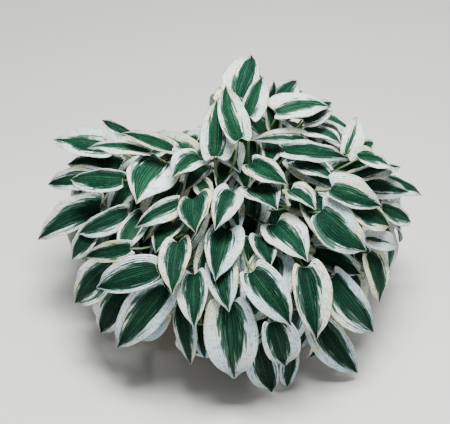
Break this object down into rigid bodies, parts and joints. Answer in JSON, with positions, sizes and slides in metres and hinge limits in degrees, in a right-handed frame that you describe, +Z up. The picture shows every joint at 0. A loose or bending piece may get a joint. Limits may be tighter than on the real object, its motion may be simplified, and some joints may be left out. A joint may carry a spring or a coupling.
{
  "type": "potted hosta plant",
  "caption": "Hosta plant with a broad mound of pointed heart-shaped leaves, dark green with pale cream edges, on arching stalks above a plain round clay pot of soil.",
  "frame": {"origin": "centre of the flat underside of the pot", "axes": "+Z up along the pot's axis, -Y towards the side the picture shows, +X to the right in the picture"},
  "size_m": [0.8981, 0.8557, 0.6796],
  "materials": {
    "clay": "matte unglazed terracotta",
    "earth": "crumbly dark potting compost with bark",
    "rootstock": "pale fleshy crown and roots",
    "leaf": "satin dark green with cream margins"
  },
  "bodies": {
    "root": {"pot": "clay", "soil": "earth", "crown": "rootstock", "leaf_01": "leaf", "leaf_02": "leaf", "leaf_03": "leaf", "leaf_04": "leaf", "leaf_05": "leaf", "leaf_06": "leaf", "leaf_07": "leaf", "leaf_08": "leaf", "leaf_09": "leaf", "leaf_10": "leaf", "leaf_11": "leaf", "leaf_12": "leaf", "leaf_13": "leaf", "leaf_14": "leaf", "leaf_15": "leaf", "leaf_16": "leaf", "leaf_17": "leaf", "leaf_18": "leaf", "leaf_19": "leaf", "leaf_20": "leaf", "leaf_21": "leaf", "leaf_22": "leaf", "leaf_23": "leaf", "leaf_24": "leaf", "leaf_25": "leaf", "leaf_26": "leaf", "leaf_27": "leaf", "leaf_28": "leaf", "leaf_29": "leaf", "leaf_30": "leaf", "leaf_31": "leaf", "leaf_32": "leaf", "leaf_33": "leaf", "leaf_34": "leaf", "leaf_35": "leaf", "leaf_36": "leaf", "leaf_37": "leaf", "leaf_38": "leaf", "leaf_39": "leaf", "leaf_40": "leaf", "leaf_41": "leaf", "leaf_42": "leaf", "leaf_43": "leaf", "leaf_44": "leaf", "leaf_45": "leaf", "leaf_46": "leaf", "leaf_47": "leaf", "leaf_48": "leaf", "leaf_49": "leaf", "leaf_50": "leaf", "leaf_51": "leaf", "leaf_52": "leaf", "leaf_53": "leaf", "leaf_54": "leaf", "leaf_55": "leaf", "leaf_56": "leaf", "leaf_57": "leaf"}
  },
  "joints": []
}
